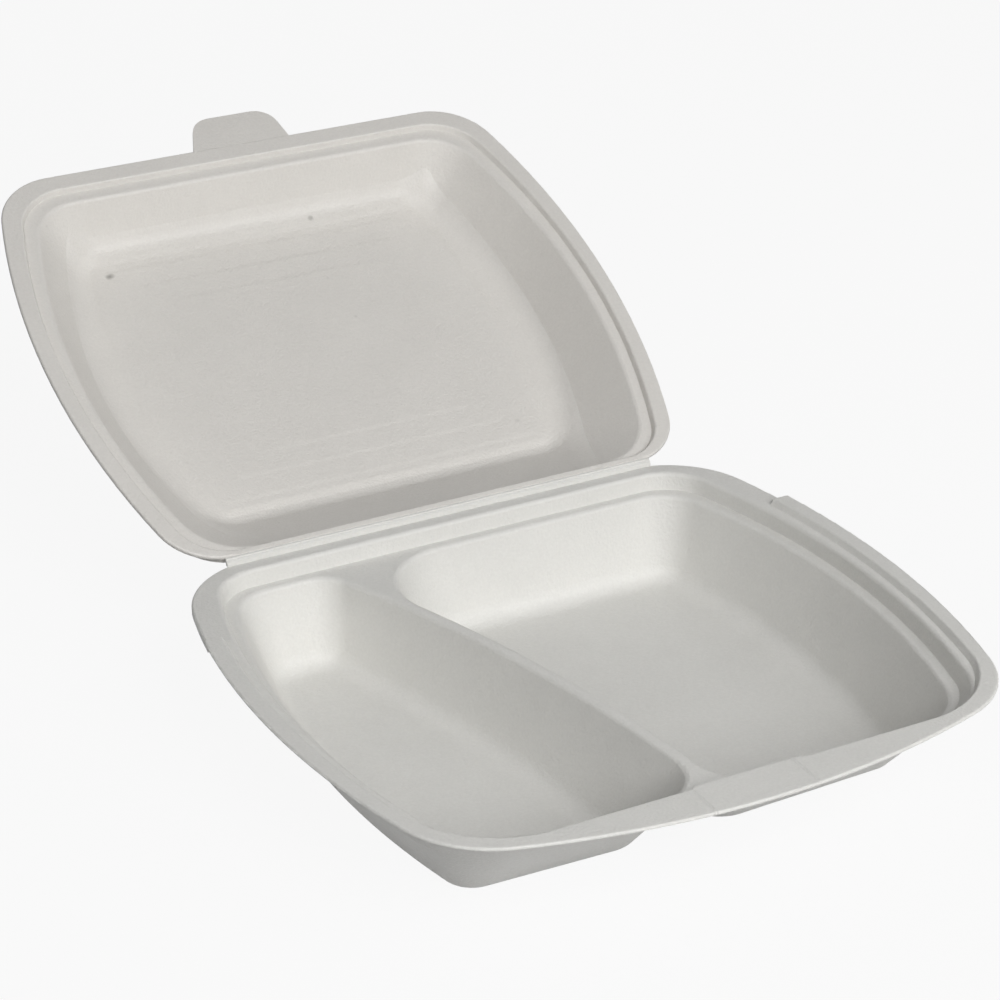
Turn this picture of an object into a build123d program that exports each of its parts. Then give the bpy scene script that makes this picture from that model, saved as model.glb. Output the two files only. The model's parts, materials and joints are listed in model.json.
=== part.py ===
import os
from math import cos, radians, sin
from build123d import *

os.makedirs("parts", exist_ok=True)

# Foam clamshell: a two-bay tray and a shallow lid joined by a thin folded strip.
# The tray rests on Z = 0 with its front towards -Y, and the fold axis runs along X.
# Lengths are millimetres. Depths and levels below are counted from the fold axis.

# Pose and foam gauge
fold_y = 70.0
lid_open = 155.3
tray_wall = 2.6
lid_wall = 2.0

# Tray rim
rim_half = 102.7
rim_bow = 16.7
rim_back = 0.6
rim_front = -203.0
rim_front_bow = 19.5
rim_back_r = 35.0
rim_front_r = 37.0
rim_z = -2.4

# Raised lip around the sides and front of the rim
lip_rise = 2.2
lip_out = 1.0
lip_width = 6.0
lip_slope = 1.6
lip_lap = 2.6
lip_start = -50.5
lip_front = -207.8
lip_front_r = 38.0
lip_edge = 1.0
lip_taper = 2.8
foot_inset = 0.8
foot_taper = 2.0
lip_round = 0.75
rim_round = 0.8

# Step inside the rim and the ledge it leads to
step_inset = 9.3
step_back = -7.2
step_front = -205.0
step_depth = 6.3
step_draft = 1.0
step_front_run = 5.2
step_back_r = 19.0
step_front_r = 27.0
step_round = 1.6

# The two bays, measured at ledge level
side_ledge = 3.9
back_ledge = 4.2
front_ledge = 1.4
bay_floor_z = -39.4
small_side_run = 9.4
large_side_run = 6.6
bay_low_bow = 9.7
bay_back_run = 8.5
bay_front_run = 26.2
bay_front_skew = 2.6
bay_corner_r = 17.0
bay_corner_low_r = 12.0
bay_front_r = 24.0
bay_front_low_r = 9.0
bay_floor_r = 8.0
bay_edge_r = 4.0
bay_round = 2.0

# Divider ridge: the width of the small bay up to its crest at the back, middle and front
small_back = 37.5
small_mid = 69.6
small_front = 83.3
ridge_half = 2.1
ridge_run = 12.0
ridge_back_run = 7.0
small_front_run = 16.0
small_foot_run = 1.0
large_front_run = 14.0
small_r = 13.0
small_low_r = 9.5
small_tip_r = 18.0
small_tip_low_r = 11.0
large_r = 27.0
large_low_r = 20.0
large_tip_r = 17.0
large_tip_low_r = 13.0

# Catch on the front lip
catch_half = 19.5
catch_push = 1.3
catch_round = 0.5

# Lid rim
lid_half = 99.6
lid_bow = 16.8
lid_near = 0.6
lid_far = 198.3
lid_near_r = 23.8
lid_far_r = 25.5
band_width = 6.2
band_far_width = 7.6
band_near = 3.0
band_near_r = 20.0
band_far_r = 22.0
band_rise = 2.4
band_draft = 0.8
band_lap = 2.0
band_round = 0.8

# Lid dome
dome_inset = 11.2
dome_near = 4.6
dome_far = 184.6
dome_near_r = 24.0
dome_far_r = 20.0
dome_round = 1.8
panel_depth = 25.0
panel_side_run = 16.0
panel_near_run = 28.0
panel_far_run = 9.6
panel_r = 17.0
panel_edge_r = 9.0

# Pull tab on the free edge of the lid
tab_x = 2.3
tab_half = 20.8
tab_tip_x = 4.2
tab_tip_half = 16.2
tab_end = 215.4
tab_set_back = 0.7
tab_gauge = 1.3
tab_root = 5.0
tab_tip_r = 9.0
tab_flare_r = 11.0

# Fold strip
strip_half = 86.6
strip_foot = -1.3
strip_gauge = 1.1

# Levels that follow from the sizes above
lip_top = rim_z + lip_rise
ledge_z = rim_z - step_depth
bottom_z = bay_floor_z - tray_wall
step_half = rim_half - step_inset
bay_half = step_half - step_draft - side_ledge
bay_back = step_back - step_draft - back_ledge
bay_front = step_front + step_front_run + front_ledge
seat = Plane((0, fold_y, -bottom_z))
fold = seat.rotated((-lid_open, 0, 0))


def bowed(half, bow, back, front, back_r, front_r, front_bow=0.0, grow=0.0):
    """Round-cornered outline with bowed sides and a front that may bow, grown all round."""
    wide = half + grow
    y_back = back + grow
    y_front = front - grow
    y_mid = (y_back + y_front) / 2
    with BuildSketch() as sketch:
        with BuildLine():
            Line((-wide, y_back), (wide, y_back))
            ThreePointArc((wide, y_back), (wide + bow, y_mid), (wide, y_front))
            if front_bow > 0:
                ThreePointArc((wide, y_front), (0, y_front - front_bow), (-wide, y_front))
            else:
                Line((wide, y_front), (-wide, y_front))
            ThreePointArc((-wide, y_front), (-wide - bow, y_mid), (-wide, y_back))
        make_face()
        fillet(sketch.vertices().sort_by(Axis.Y)[:2], front_r + grow)
        fillet(sketch.vertices().sort_by(Axis.Y)[-2:], back_r + grow)
    return sketch.sketch


def ridge_x(y):
    """Sideways place of the divider ridge at a given depth into the tray."""
    s = (y - bay_back) / (bay_front - bay_back)
    near = small_back * (1 - s) * (1 - 2 * s)
    middle = small_mid * 4 * s * (1 - s)
    far = small_front * s * (2 * s - 1)
    return near + middle + far - bay_half


def bay(side, fall, grow=0.0):
    """Outline of one bay: side is -1 or 1, fall runs from 0 at the ledge to 1 at the floor."""
    side_run = large_side_run if side > 0 else small_side_run
    front_run = large_front_run if side > 0 else small_front_run
    if side < 0 and grow > 0:
        front_run = small_foot_run
    wide = side * (bay_half - side_run * fall + grow)
    bulge = side * (rim_bow + (bay_low_bow - rim_bow) * fall)
    y_back = bay_back - bay_back_run * fall + grow
    y_front = bay_front + bay_front_run * fall - grow
    y_corner = y_front + bay_front_skew * fall
    y_mid = (y_back + y_front) / 2
    back_shift = side * (ridge_half + ridge_back_run * fall - grow)
    shift = side * (ridge_half + ridge_run * fall - grow)
    front_shift = side * (ridge_half + front_run * fall - grow)
    at_back = (ridge_x(y_back) + back_shift, y_back)
    at_mid = (ridge_x(y_mid) + shift, y_mid)
    at_front = (ridge_x(y_front) + front_shift, y_front)
    corner_r = bay_corner_r + (bay_corner_low_r - bay_corner_r) * fall
    front_r = bay_front_r + (bay_front_low_r - bay_front_r) * fall
    if side > 0:
        inner_r = large_r + (large_low_r - large_r) * fall
        tip_r = large_tip_r + (large_tip_low_r - large_tip_r) * fall
    else:
        inner_r = small_r + (small_low_r - small_r) * fall
        tip_r = small_tip_r + (small_tip_low_r - small_tip_r) * fall
    with BuildSketch() as sketch:
        with BuildLine():
            Line(at_back, (wide, y_back))
            ThreePointArc((wide, y_back), (wide + bulge, y_mid), (wide, y_corner))
            Line((wide, y_corner), at_front)
            ThreePointArc(at_front, at_mid, at_back)
        make_face()
        for spot, radius in (
            ((wide, y_back), corner_r),
            ((wide, y_corner), front_r),
            (at_back, inner_r),
            (at_front, tip_r),
        ):
            fillet(sketch.vertices().sort_by_distance((spot[0], spot[1], 0))[0], radius + grow)
    return sketch.sketch


def along(edges, outline, base, level):
    """The edges that lie on an outline placed at a level over a base plane."""
    rim = base.offset(level) * outline
    wires = rim.wires()
    return [e for e in edges if min(w.distance_to(e @ 0.5) for w in wires) < 0.02]


def slab(base, outline, low, high):
    """Straight plate between two levels over a base plane."""
    with BuildPart() as body:
        with BuildSketch(base.offset(low)):
            add(outline)
        extrude(amount=high - low)
    return body.part


def drafted(base, first, first_level, last, last_level, edge_r=0.0):
    """Tapered body from one outline to another, with the edges of its last face rounded."""
    with BuildPart() as body:
        with BuildSketch(base.offset(first_level)):
            add(first)
        with BuildSketch(base.offset(last_level)):
            add(last)
        loft(ruled=True)
        if edge_r > 0:
            ends = body.faces().sort_by(Axis(base.origin, base.z_dir))
            end = ends[-1] if last_level > first_level else ends[0]
            fillet(end.edges(), edge_r)
    return body.part


def eased(body, outline, base, level, radius):
    """A copy of a body with its edges along an outline rounded."""
    with BuildPart() as soft:
        add(body)
        fillet(along(soft.edges(), outline, base, level), radius)
    return soft.part


# Tray outlines
rim_size = (rim_half, rim_bow, rim_back, rim_front, rim_back_r, rim_front_r, rim_front_bow)
rim_line = bowed(*rim_size)
lip_line = bowed(*rim_size, grow=lip_out)
lip_half = rim_half + lip_out - lip_width
lip_size = (lip_half, rim_bow, rim_back, lip_front, rim_back_r, lip_front_r)
lip_inner = bowed(*lip_size)
lip_under = bowed(*lip_size, grow=lip_lap)
lip_low = bowed(*lip_size, grow=-lip_slope)
step_fall = (step_depth + tray_wall) / step_depth
bottom_fall = (bottom_z - ledge_z) / (bay_floor_z - ledge_z)



def step(fall, grow=0.0):
    """Outline of the step from the rim (fall 0) down to the ledge (fall 1)."""
    return bowed(
        step_half - step_draft * fall,
        rim_bow,
        step_back - step_draft * fall,
        step_front + step_front_run * fall,
        step_back_r,
        step_front_r,
        grow=grow,
    )


with BuildSketch() as catch_line:
    with BuildLine():
        Polyline(
            (-catch_half - catch_push, lip_front - 2 * lip_round),
            (-catch_half - catch_push, lip_front),
            (-catch_half, lip_front + catch_push),
            (catch_half, lip_front + catch_push),
            (catch_half + catch_push, lip_front),
            (catch_half + catch_push, lip_front - 2 * lip_round),
            close=True,
        )
    make_face()

# Tray bodies
front_zone = seat.location * Pos(0, lip_start - 150, 0) * Box(400, 300, 60)
rim_plate = slab(seat, rim_line, rim_z - tray_wall, rim_z)
rim_plate = eased(rim_plate, rim_line, seat, rim_z, rim_round) - front_zone
lip_base = bowed(*lip_size, grow=lip_lap - foot_taper)
foot_line = bowed(*rim_size, grow=lip_out - lip_taper - foot_inset)
foot_low = bowed(*rim_size, grow=lip_out - lip_taper - foot_inset - foot_taper)
lip_foot = drafted(seat, lip_under, rim_z, lip_base, rim_z - tray_wall) & front_zone
lip_foot = lip_foot & drafted(seat, foot_line, rim_z, foot_low, rim_z - tray_wall)
lip_ring = slab(seat, lip_line, lip_top - lip_edge, lip_top)
lip_ring = eased(lip_ring, lip_line, seat, lip_top, lip_round)
lip_root = bowed(*rim_size, grow=lip_out - lip_taper)
lip_ring += drafted(seat, lip_root, lip_top - tray_wall, lip_line, lip_top - lip_edge)
lip_hollow = drafted(seat, lip_low, lip_top - tray_wall, lip_inner, lip_top)
lip_ring = (lip_ring - lip_hollow) & front_zone
lip_ring = eased(lip_ring, lip_inner, seat, lip_top, lip_round)
catch = slab(seat, catch_line.sketch, lip_top - tray_wall, lip_top)
catch = eased(catch, catch_line.sketch, seat, lip_top, catch_round)
step_mouth = step(0)
step_shell = drafted(
    seat, step(0, tray_wall), rim_z, step(step_fall, tray_wall), ledge_z - tray_wall
)
step_hollow = drafted(seat, step_mouth, rim_z, step(1), ledge_z)
bay_mouths = [bay(side, 0) for side in (-1, 1)]
bay_shells = []
bay_hollows = []
for side in (-1, 1):
    low_line = bay(side, bottom_fall, tray_wall)
    shell = drafted(seat, bay(side, 0, tray_wall), ledge_z, low_line, bottom_z, bay_edge_r)
    hollow = drafted(seat, bay(side, 0), ledge_z, bay(side, 1), bay_floor_z, bay_floor_r)
    bay_shells.append(shell)
    bay_hollows.append(hollow)

with BuildPart() as tray:
    add(rim_plate)
    add(lip_foot)
    add(lip_ring)
    add(step_shell)
    add(bay_shells)
    add(step_hollow, mode=Mode.SUBTRACT)
    add(bay_hollows, mode=Mode.SUBTRACT)
    fillet(along(tray.edges(), step_mouth, seat, rim_z), step_round)
    for mouth in bay_mouths:
        fillet(along(tray.edges(), mouth, seat, ledge_z), bay_round)
    add(catch)

tray.part.label = "tray"
export_step(tray.part, "parts/tray.step")

# Lid outlines, drawn in the plane of the lid rim with the free edge towards -Y of that plane
lid_line = bowed(lid_half, lid_bow, -lid_near, -lid_far, lid_near_r, lid_far_r)
band_half = lid_half - band_width
band_far = lid_far - band_far_width
band_size = (band_half, lid_bow, -band_near, -band_far, band_near_r, band_far_r)
dome_half = lid_half - dome_inset
dome_size = (dome_half, lid_bow, -dome_near, -dome_far, dome_near_r, dome_far_r)


def dome(fall, grow=0.0):
    """Outline of the lid hollow from its mouth (fall 0) to the top panel (fall 1)."""
    near_r = dome_near_r + (panel_r - dome_near_r) * fall
    far_r = dome_far_r + (panel_r - dome_far_r) * fall
    return bowed(
        dome_half - panel_side_run * fall,
        lid_bow,
        -dome_near - panel_near_run * fall,
        -dome_far + panel_far_run * fall,
        near_r,
        far_r,
        grow=grow,
    )


panel_top = panel_depth + lid_wall
dome_fall = (panel_top - band_rise) / (panel_depth - band_rise)

with BuildSketch() as tab_line:
    with BuildLine():
        Polyline(
            (tab_x - tab_half, -lid_far + tab_root),
            (tab_x + tab_half, -lid_far + tab_root),
            (tab_x + tab_half, -lid_far),
            (tab_tip_x + tab_tip_half, -tab_end),
            (tab_tip_x - tab_tip_half, -tab_end),
            (tab_x - tab_half, -lid_far),
            close=True,
        )
    make_face()
    fillet(tab_line.vertices().sort_by(Axis.Y)[2:4], tab_flare_r)
    fillet(tab_line.vertices().sort_by(Axis.Y)[:2], tab_tip_r)

# Lid bodies
band_plate = eased(slab(fold, lid_line, 0, lid_wall), lid_line, fold, 0, band_round)
band_plate = eased(band_plate, lid_line, fold, lid_wall, band_round)
band_shell = slab(fold, bowed(*band_size, grow=band_lap), 0, band_rise + lid_wall)
band_line = bowed(*band_size)
band_hollow = drafted(fold, band_line, 0, bowed(*band_size, grow=-band_draft), band_rise)
dome_top = dome(dome_fall, lid_wall)
dome_shell = drafted(
    fold, dome(0, lid_wall), band_rise, dome_top, panel_top, panel_edge_r + lid_wall
)
dome_mouth = dome(0)
dome_hollow = drafted(fold, dome_mouth, band_rise, dome(1), panel_depth, panel_edge_r)
tab_plate = slab(fold, tab_line.sketch, tab_set_back, tab_set_back + tab_gauge)

with BuildPart() as lid:
    add(band_plate)
    add(band_shell)
    add(dome_shell)
    add(band_hollow, mode=Mode.SUBTRACT)
    add(dome_hollow, mode=Mode.SUBTRACT)
    fillet(along(lid.edges(), dome_mouth, fold, band_rise), dome_round)
    fillet(along(lid.edges(), band_line, fold, 0), band_round)
    add(tab_plate)

lid.part.label = "lid"
export_step(lid.part, "parts/lid.step")

# Fold strip: stands on the back of the tray rim and bends over to the edge of the lid
out_y = -cos(radians(lid_open))
out_z = sin(radians(lid_open))
strip_low = (lid_wall - strip_gauge) / 2
strip_high = (lid_wall + strip_gauge) / 2
front_tip = (lid_near * out_y + strip_low * out_z, lid_near * out_z - strip_low * out_y)
back_tip = (lid_near * out_y + strip_high * out_z, lid_near * out_z - strip_high * out_y)

with BuildPart() as living_hinge:
    with BuildSketch(Plane((-strip_half, fold_y, -bottom_z), x_dir=(0, 1, 0), z_dir=(1, 0, 0))):
        with BuildLine():
            Polyline(
                (strip_foot, rim_z),
                (strip_foot + 0.3, front_tip[1] - 0.6),
                (front_tip[0] - 0.8, front_tip[1] + 0.2),
                front_tip,
                back_tip,
                (strip_foot + strip_gauge + 0.3, back_tip[1] + 0.1),
                (strip_foot + strip_gauge, rim_z),
                close=True,
            )
        make_face()
    extrude(amount=2 * strip_half)

living_hinge.part.label = "living_hinge"
export_step(living_hinge.part, "parts/living_hinge.step")
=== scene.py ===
import json
from math import cos, radians, sin

import bpy
from mathutils import Matrix, Vector


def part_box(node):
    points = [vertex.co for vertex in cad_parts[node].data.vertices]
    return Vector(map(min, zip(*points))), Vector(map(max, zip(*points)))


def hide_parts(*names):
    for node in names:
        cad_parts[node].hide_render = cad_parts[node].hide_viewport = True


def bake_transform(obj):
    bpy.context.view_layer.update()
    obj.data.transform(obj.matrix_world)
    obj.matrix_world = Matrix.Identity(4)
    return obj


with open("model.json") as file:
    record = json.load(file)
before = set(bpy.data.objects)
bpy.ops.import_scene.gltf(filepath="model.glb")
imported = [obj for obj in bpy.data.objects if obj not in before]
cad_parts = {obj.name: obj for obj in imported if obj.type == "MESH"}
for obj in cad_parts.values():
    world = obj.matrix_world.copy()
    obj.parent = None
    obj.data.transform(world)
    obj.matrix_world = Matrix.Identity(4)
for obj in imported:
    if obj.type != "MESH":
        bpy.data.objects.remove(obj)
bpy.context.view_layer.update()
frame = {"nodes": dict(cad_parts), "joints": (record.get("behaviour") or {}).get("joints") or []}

# Lengths are metres in the part's own frame. MM turns sizes written in millimetres to metres.
MM = 0.001

# The fold: its axis runs along X through this point, and the lid stands open by this angle.
fold_joint = frame["joints"][0]
FOLD = Vector(fold_joint["pos_m"])
LID_OPEN = radians(fold_joint["range_deg"][1])
LID_OUT = Vector((0, -cos(LID_OPEN), sin(LID_OPEN)))
LID_BACK = Vector((0, sin(LID_OPEN), cos(LID_OPEN)))


def linear(hex_colour):
    """Linear RGBA of an sRGB hex colour."""
    channels = [int(hex_colour[i:i + 2], 16) / 255 for i in (0, 2, 4)]
    return [c / 12.92 if c <= 0.04045 else ((c + 0.055) / 1.055) ** 2.4 for c in channels] + [1.0]


def add_node(tree, kind, settings=None, **sockets):
    """A node with its settings. A socket is named, or numbered as in _0.

    It takes a value, an output that feeds it, or a node whose first output in use feeds it.
    """
    node = tree.nodes.new(kind)
    for name, value in (settings or {}).items():
        setattr(node, name, value)
    for name, value in sockets.items():
        socket = node.inputs[int(name[1:]) if name[1:].isdigit() else name.replace("_", " ")]
        if isinstance(value, bpy.types.Node):
            value = next(output for output in value.outputs if output.enabled)
        if isinstance(value, bpy.types.NodeSocket):
            tree.links.new(value, socket)
        else:
            socket.default_value = value
    return node


# Foam: extruded polystyrene sheet, thermoformed. The skin is warm white and satin, with a fine
# grain from the foam cells and a soft unevenness where the sheet was stretched. Real cells are a
# few tenths of a millimetre, too fine to show, so the grain is drawn coarser.
TRAY_TONES = ("E8E7E3", "DDDCD8")
LID_TONES = ("E8E5E0", "DDDAD5")
FOAM_IOR = 1.5
CELL_GRAIN = 1.0 * MM
CELL_RELIEF = 0.22 * MM
CELL_SPREAD = (0.3, 0.7)
CELL_SHARE = 0.35
CELL_GLOSS = (0.42, 0.56)
PEEL_GRAIN = 3.2 * MM
PEEL_RELIEF = 0.12 * MM
TONE_PATCH = 26 * MM


def foam_skin(name, tones):
    """The foam's material, between two close tones."""
    foam = bpy.data.materials.new(name)
    foam.use_nodes = True
    tree = foam.node_tree
    tree.nodes.clear()
    place = add_node(tree, "ShaderNodeTexCoord").outputs["Object"]
    cells = add_node(tree, "ShaderNodeTexNoise", Vector=place, Scale=1 / CELL_GRAIN, Detail=2.0)
    peel = add_node(tree, "ShaderNodeTexNoise", Vector=place, Scale=1 / PEEL_GRAIN, Detail=1.0)
    patches = add_node(tree, "ShaderNodeTexNoise", Vector=place, Scale=1 / TONE_PATCH, Detail=3.0)
    speckle = add_node(
        tree, "ShaderNodeMapRange", Value=cells, From_Min=CELL_SPREAD[0], From_Max=CELL_SPREAD[1],
    )
    blotch = add_node(tree, "ShaderNodeMix", _0=CELL_SHARE, _2=patches, _3=speckle)
    tone = add_node(
        tree, "ShaderNodeMix", {"data_type": "RGBA"},
        _0=blotch, _6=linear(tones[0]), _7=linear(tones[1]),
    )
    gloss = add_node(
        tree, "ShaderNodeMapRange", Value=speckle, To_Min=CELL_GLOSS[0], To_Max=CELL_GLOSS[1],
    )
    fine = add_node(tree, "ShaderNodeBump", Height=cells, Strength=1.0, Distance=CELL_RELIEF)
    coarse = add_node(
        tree, "ShaderNodeBump", Height=peel, Strength=1.0, Distance=PEEL_RELIEF, Normal=fine,
    )
    skin = add_node(
        tree, "ShaderNodeBsdfPrincipled",
        Base_Color=tone, Roughness=gloss, IOR=FOAM_IOR, Normal=coarse,
    )
    add_node(tree, "ShaderNodeOutputMaterial", Surface=skin)
    return foam


def press(foam, height, where):
    """Adds a relief, as a height in metres, to a foam's grain where a mask is 1."""
    tree = foam.node_tree
    normal = tree.nodes["Principled BSDF"].inputs["Normal"]
    masked = add_node(tree, "ShaderNodeMath", {"operation": "MULTIPLY"}, _0=height, _1=where)
    pressed = add_node(
        tree, "ShaderNodeBump",
        Height=masked, Strength=1.0, Distance=1.0, Normal=normal.links[0].from_socket,
    )
    tree.links.new(pressed.outputs["Normal"], normal)


# Lid panel: it steps down in three faint terraces and one firm edge to its border, and meets the
# side and far walls over a soft facet. Each outline is half wide, bowed at the sides, and half long
# about its own middle, in millimetres out from the fold. A step also has its line's width and drop.
PANEL_STEPS = (
    ((45.5, 0, 104.2, 41.5), 2.4, 0.16),
    ((55.5, 0, 104.2, 51.5), 2.4, 0.16),
    ((65.5, 0, 104.2, 61.5), 2.4, 0.16),
    ((68, 9.8, 105.5, 68), 5.0, 0.6),
)
FACET = (78.3, 13.4, 103, 75.5)
FACET_RUN = 8 * MM
FACET_DROP = 2.0 * MM
CORNER_EASE = 4 * MM


def press_panel(foam):
    """Adds the panel's relief to the inside of the lid."""
    tree = foam.node_tree
    spot = add_node(tree, "ShaderNodeTexCoord")
    place = spot.outputs["Object"]
    sideways = add_node(tree, "ShaderNodeSeparateXYZ", Vector=place).outputs["X"]
    across = add_node(tree, "ShaderNodeMath", {"operation": "ABSOLUTE"}, _0=sideways)
    along = add_node(
        tree, "ShaderNodeVectorMath", {"operation": "DOT_PRODUCT"}, _0=place, _1=LID_OUT,
    )
    out = add_node(
        tree, "ShaderNodeMath", {"operation": "SUBTRACT"}, _0=along, _1=FOLD.dot(LID_OUT),
    )

    def beyond(half_wide, bow, middle, half_long, near_end=True):
        """How far a point lies outside an outline, which may be open at its near end."""
        from_middle = add_node(
            tree, "ShaderNodeMath", {"operation": "SUBTRACT"}, _0=out, _1=middle * MM,
        )
        squared = add_node(
            tree, "ShaderNodeMath", {"operation": "MULTIPLY"}, _0=from_middle, _1=from_middle,
        )
        unbowed = add_node(
            tree, "ShaderNodeMath", {"operation": "MULTIPLY_ADD"},
            _0=squared, _1=bow / (half_long ** 2 * MM), _2=across,
        )
        side = add_node(
            tree, "ShaderNodeMath", {"operation": "SUBTRACT"}, _0=unbowed, _1=(half_wide + bow) * MM,
        )
        if near_end:
            from_middle = add_node(
                tree, "ShaderNodeMath", {"operation": "ABSOLUTE"}, _0=from_middle,
            )
        end = add_node(
            tree, "ShaderNodeMath", {"operation": "SUBTRACT"}, _0=from_middle, _1=half_long * MM,
        )
        return add_node(
            tree, "ShaderNodeMath", {"operation": "SMOOTH_MAX"}, _0=side, _1=end, _2=CORNER_EASE,
        )

    rise = add_node(
        tree, "ShaderNodeMapRange",
        Value=beyond(*FACET, near_end=False), From_Min=-FACET_RUN, From_Max=0.0,
    )
    eased = add_node(tree, "ShaderNodeMath", {"operation": "MULTIPLY"}, _0=rise, _1=rise)
    height = add_node(
        tree, "ShaderNodeMath", {"operation": "MULTIPLY"}, _0=eased, _1=-FACET_DROP,
    )
    for outline, line, drop in PANEL_STEPS:
        step = add_node(
            tree, "ShaderNodeMapRange", {"interpolation_type": "SMOOTHSTEP"},
            Value=beyond(*outline), From_Min=-line / 2 * MM, From_Max=line / 2 * MM,
            To_Min=0.0, To_Max=-drop * MM,
        )
        height = add_node(tree, "ShaderNodeMath", {"operation": "ADD"}, _0=height, _1=step)
    facing = add_node(
        tree, "ShaderNodeVectorMath", {"operation": "DOT_PRODUCT"},
        _0=spot.outputs["Normal"], _1=LID_BACK,
    )
    inside = add_node(tree, "ShaderNodeMath", {"operation": "LESS_THAN"}, _0=facing, _1=0.0)
    press(foam, height, inside)


# Dirt specks on the lid: millimetres along the fold, out from it and behind the lid's rim, radius
# in millimetres, and strength. Each fades from its core to its edge, both shares of the radius.
SPECK_GREY = "6E6C66"
SPECK_CORE = 0.25
SPECK_EDGE = 1.25
SPECKS = (
    (-65.3, 163.5, 24.7, 1.5, 0.50),
    (-64.0, 163.9, 24.7, 1.5, 0.40),
    (25.5, 173.2, 23.8, 1.3, 0.42),
    (60.7, 50.4, 24.7, 1.2, 0.14),
    (21.7, 118.7, 24.6, 0.9, 0.14),
    (19.3, 141.0, 24.6, 0.8, 0.12),
    (-20.2, 140.3, 24.7, 0.8, 0.10),
    (-87.5, 176.8, 4.3, 0.8, 0.12),
)


def speckle_lid(foam):
    """Adds the dirt specks to the lid."""
    tree = foam.node_tree
    base = tree.nodes["Principled BSDF"].inputs["Base Color"]
    place = add_node(tree, "ShaderNodeTexCoord").outputs["Object"]
    colour = base.links[0].from_socket
    for across, out, deep, radius, strength in SPECKS:
        middle = FOLD + MM * (Vector((across, 0, 0)) + out * LID_OUT + deep * LID_BACK)
        far = add_node(
            tree, "ShaderNodeVectorMath", {"operation": "DISTANCE"}, _0=place, _1=middle,
        )
        cover = add_node(
            tree, "ShaderNodeMapRange", {"interpolation_type": "SMOOTHSTEP"}, Value=far,
            From_Min=SPECK_CORE * radius * MM, From_Max=SPECK_EDGE * radius * MM,
            To_Min=strength, To_Max=0.0,
        )
        colour = add_node(
            tree, "ShaderNodeMix", {"data_type": "RGBA"},
            _0=cover, _6=colour, _7=linear(SPECK_GREY),
        ).outputs[2]
    tree.links.new(colour, base)


# Catch on the tray's front lip: a faint crease across the lip at each side of it.
CREASES = (-20.9 * MM, 16.4 * MM)
CREASE_HALF = 0.9 * MM
CREASE_DEPTH = 0.25 * MM
CREASE_BACK = FOLD.y - 206 * MM
CREASE_LOW = FOLD.z - 4 * MM


def crease_catch(foam):
    """Adds the catch's creases to the top of the tray's front lip."""
    tree = foam.node_tree
    place = add_node(tree, "ShaderNodeTexCoord").outputs["Object"]
    spot = add_node(tree, "ShaderNodeSeparateXYZ", Vector=place)
    in_front = add_node(
        tree, "ShaderNodeMath", {"operation": "LESS_THAN"}, _0=spot.outputs["Y"], _1=CREASE_BACK,
    )
    on_top = add_node(
        tree, "ShaderNodeMath", {"operation": "GREATER_THAN"}, _0=spot.outputs["Z"], _1=CREASE_LOW,
    )
    on_lip = add_node(tree, "ShaderNodeMath", {"operation": "MULTIPLY"}, _0=in_front, _1=on_top)
    height = 0.0
    for crease in CREASES:
        offset = add_node(
            tree, "ShaderNodeMath", {"operation": "SUBTRACT"}, _0=spot.outputs["X"], _1=crease,
        )
        far = add_node(tree, "ShaderNodeMath", {"operation": "ABSOLUTE"}, _0=offset)
        groove = add_node(
            tree, "ShaderNodeMapRange", {"interpolation_type": "SMOOTHSTEP"}, Value=far,
            From_Min=0.0, From_Max=CREASE_HALF, To_Min=-CREASE_DEPTH, To_Max=0.0,
        )
        height = add_node(tree, "ShaderNodeMath", {"operation": "ADD"}, _0=groove, _1=height)
    press(foam, height, on_lip)


tray_foam = foam_skin("polystyrene_foam_tray", TRAY_TONES)
crease_catch(tray_foam)
lid_foam = foam_skin("polystyrene_foam_lid", LID_TONES)
press_panel(lid_foam)
speckle_lid(lid_foam)
for node, foam in (("tray", tray_foam), ("lid", lid_foam)):
    sheet = frame["nodes"][node].data
    sheet.materials.clear()
    sheet.materials.append(foam)

# Fold strip: the sheet pressed thin, standing on the tray rim and creased where it meets the lid.
# Its section is in millimetres from the fold axis, from the foot on the tray to the edge of the lid
# and back.
STRIP_FRONT = (
    (-1.35, -2.5), (-1.3, -1.7), (-1.15, -0.95), (-0.75, -0.6), (-0.35, -0.35), (-0.2, 0.1), (0.5, 0.3),
)
STRIP_BACK = ((1.2, -0.9), (0.6, -1.1), (0.15, -1.5), (-0.1, -2.5))
STRIP_PIECES = 96

strip_low, strip_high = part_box("living_hinge")
section = STRIP_FRONT + STRIP_BACK
count = len(section)
strip_points = []
strip_faces = []
for i in range(STRIP_PIECES + 1):
    x = strip_low.x + (strip_high.x - strip_low.x) * i / STRIP_PIECES
    strip_points += [(x, FOLD.y + y * MM, FOLD.z + z * MM) for y, z in section]
for i in range(STRIP_PIECES):
    here, there = i * count, (i + 1) * count
    for k in range(count):
        n = (k + 1) % count
        strip_faces.append((here + k, here + n, there + n, there + k))
strip_faces.append(tuple(reversed(range(count))))
strip_faces.append(tuple(STRIP_PIECES * count + k for k in range(count)))
strip_mesh = bpy.data.meshes.new("fold_strip")
strip_mesh.from_pydata(strip_points, [], strip_faces)
strip_mesh.materials.append(tray_foam)
strip = bpy.data.objects.new("fold_strip", strip_mesh)
bpy.context.scene.collection.objects.link(strip)
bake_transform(strip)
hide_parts("living_hinge")


def seen_white(tree):
    """1 for the rays that show the background: straight to the camera, mirrored or through glass."""
    rays = add_node(tree, "ShaderNodeLightPath")
    seen = rays.outputs["Is Camera Ray"]
    for kind in ("Is Glossy Ray", "Is Transmission Ray"):
        seen = add_node(
            tree, "ShaderNodeMath", {"operation": "MAXIMUM"}, _0=seen, _1=rays.outputs[kind],
        )
    return seen


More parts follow.
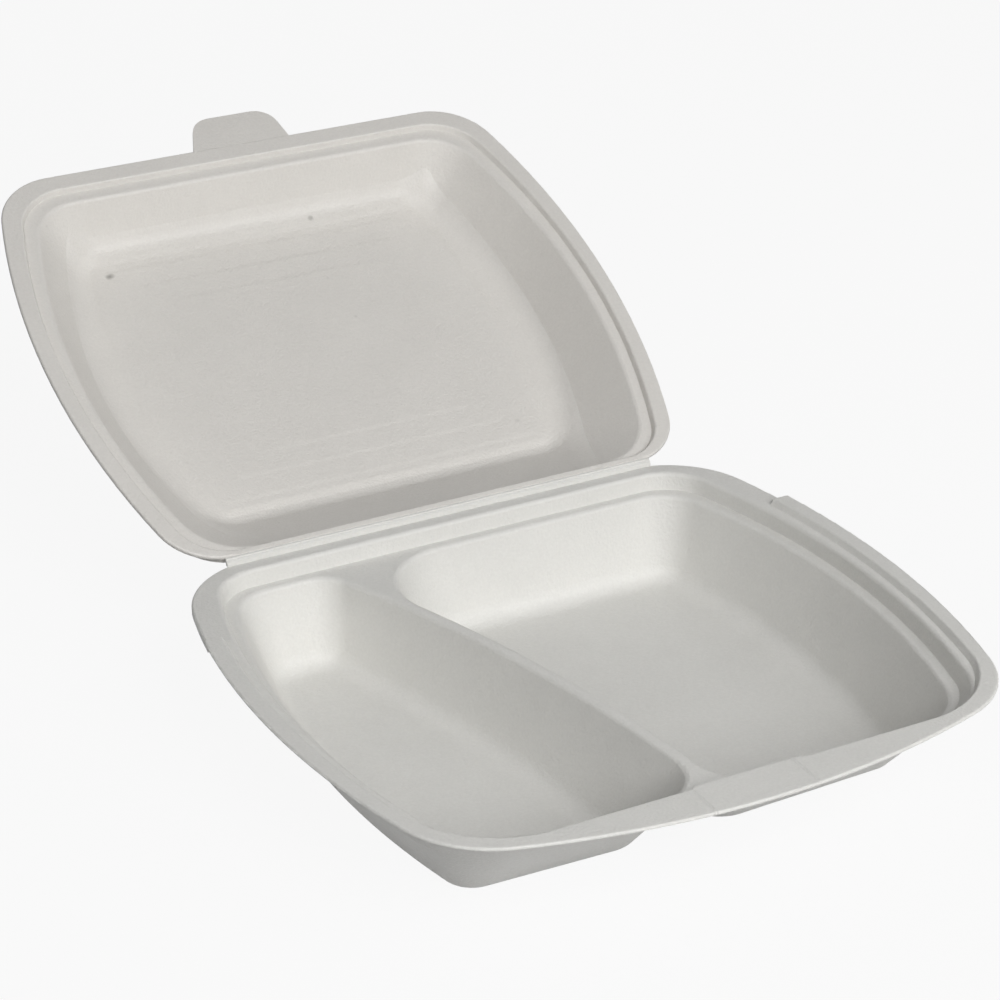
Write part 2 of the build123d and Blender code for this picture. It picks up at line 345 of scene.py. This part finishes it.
# Floor: plain pale paper. The rays that show it lift it towards white and keep the shadow.
WHITE = "FFFFFF"
FLOOR_PALE = "C8C8C8"
FLOOR_LIFT = 0.92
FLOOR_HALF = 3.0

floor_mesh = bpy.data.meshes.new("floor")
floor_mesh.from_pydata(
    [(x * FLOOR_HALF, y * FLOOR_HALF, 0) for x, y in ((-1, -1), (1, -1), (1, 1), (-1, 1))],
    [], [(0, 1, 2, 3)],
)
floor = bpy.data.objects.new("floor", floor_mesh)
bpy.context.scene.collection.objects.link(floor)

paper = bpy.data.materials.new("pale_paper_floor")
paper.use_nodes = True
tree = paper.node_tree
tree.nodes.clear()
lift = add_node(
    tree, "ShaderNodeMath", {"operation": "MULTIPLY"}, _0=seen_white(tree), _1=FLOOR_LIFT,
)
matt = add_node(tree, "ShaderNodeBsdfDiffuse", Color=linear(FLOOR_PALE))
bright = add_node(tree, "ShaderNodeEmission", Color=linear(WHITE), Strength=1.0)
mix = add_node(tree, "ShaderNodeMixShader", _0=lift, _1=matt, _2=bright)
add_node(tree, "ShaderNodeOutputMaterial", Surface=mix)
floor_mesh.materials.append(paper)

# World: a weak even fill, seen as white.
FILL = 0.024

world = bpy.data.worlds.new("studio")
bpy.context.scene.world = world
world.use_nodes = True
tree = world.node_tree
tree.nodes.clear()
strength = add_node(
    tree, "ShaderNodeMapRange", Value=seen_white(tree), To_Min=FILL, To_Max=1.0,
)
sky = add_node(tree, "ShaderNodeBackground", Color=linear(WHITE), Strength=strength)
add_node(tree, "ShaderNodeOutputWorld", Surface=sky)

# Lamps: soft square panels aimed at the middle of the box, each by its azimuth from the front and
# its elevation in degrees, and its power in watts.
LAMP_AIM = Vector((0, 50, 40)) * MM
LAMP_REACH = 1.8
LAMP_SIZE = 0.9
LAMPS = {
    "front": (0, 35, 19.0),
    "front_right": (45, 35, 5.7),
    "front_left": (-45, 35, 5.0),
    "back": (180, 45, 1.5),
}


def towards(azimuth, elevation):
    """Direction from the box to a place at an azimuth from the front and an elevation."""
    level = cos(elevation)
    return Vector((sin(azimuth) * level, -cos(azimuth) * level, sin(elevation)))


for name, (azimuth, elevation, watts) in LAMPS.items():
    lamp = bpy.data.lights.new(name, "AREA")
    lamp.size = LAMP_SIZE
    lamp.energy = watts
    panel = bpy.data.objects.new(name, lamp)
    bpy.context.scene.collection.objects.link(panel)
    direction = towards(radians(azimuth), radians(elevation))
    panel.location = LAMP_AIM + LAMP_REACH * direction
    panel.rotation_euler = direction.to_track_quat("Z", "Y").to_euler()

# Camera: the photograph's viewing angle, with the fold's middle near the centre of the frame.
VIEW_AZIMUTH = radians(-28.03)
VIEW_ELEVATION = radians(26.56)
VIEW_ROLL = radians(-0.08)
VIEW_REACH = 1109.43 * MM
VIEW_RIGHT = 20.35 * MM
VIEW_UP = 2.67 * MM
FOCAL_SHARE = 3.03962

away = towards(VIEW_AZIMUTH, VIEW_ELEVATION)
level_right = Vector((cos(VIEW_AZIMUTH), sin(VIEW_AZIMUTH), 0))
level_up = away.cross(level_right)
right = cos(VIEW_ROLL) * level_right + sin(VIEW_ROLL) * level_up
up = cos(VIEW_ROLL) * level_up - sin(VIEW_ROLL) * level_right
lens = bpy.data.cameras.new("camera")
lens.sensor_fit = "HORIZONTAL"
lens.lens = FOCAL_SHARE * lens.sensor_width
camera = bpy.data.objects.new("camera", lens)
bpy.context.scene.collection.objects.link(camera)
stand = FOLD + VIEW_RIGHT * right + VIEW_UP * up + VIEW_REACH * away
camera.matrix_world = Matrix.Translation(stand) @ Matrix((right, up, away)).transposed().to_4x4()
bpy.context.scene.camera = camera

bpy.context.scene.view_settings.view_transform = "Standard"
